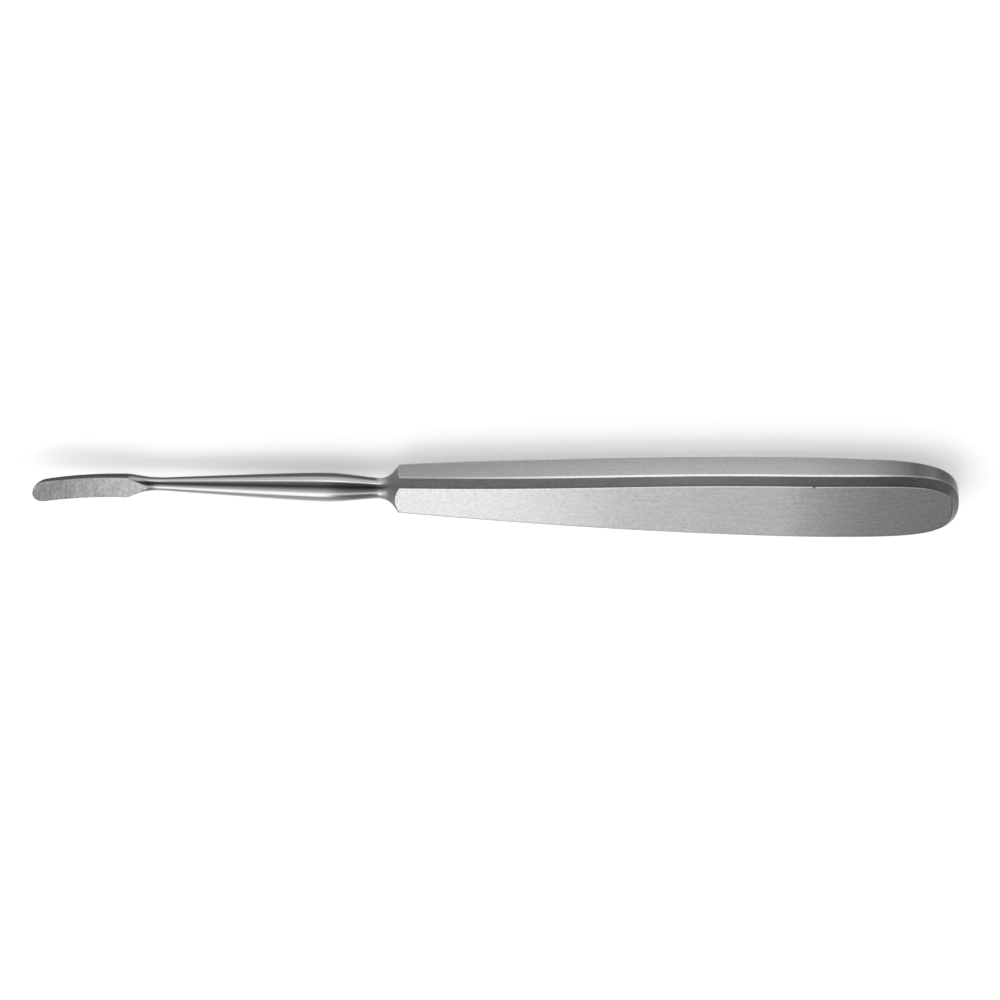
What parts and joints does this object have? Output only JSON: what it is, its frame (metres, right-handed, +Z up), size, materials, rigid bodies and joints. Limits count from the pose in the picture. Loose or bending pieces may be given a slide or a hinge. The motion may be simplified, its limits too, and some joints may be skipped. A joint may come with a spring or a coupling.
{
  "type": "periosteal elevator",
  "caption": "One-piece stainless steel surgical elevator with a bevelled bar handle, a round waisted shank and a narrow, gently bent blade for lifting periosteum off bone.",
  "frame": {"origin": "bottom centre of the bounding box: mid length and mid width, on the surface that the handle's lower broad face rests on", "axes": "+X along the instrument towards the rounded end of the handle, with the blade's tip at -X; +Y across the broad faces; +Z up, out of the upper broad face, the way the blade bends"},
  "size_m": [0.16, 0.0132, 0.0088],
  "materials": {
    "steel": "satin ground stainless steel, brushed lengthwise on the handle, finer and brighter on the round shank, cross-ground on the blade's face"
  },
  "bodies": {
    "root": {"elevator": "steel"}
  },
  "joints": []
}
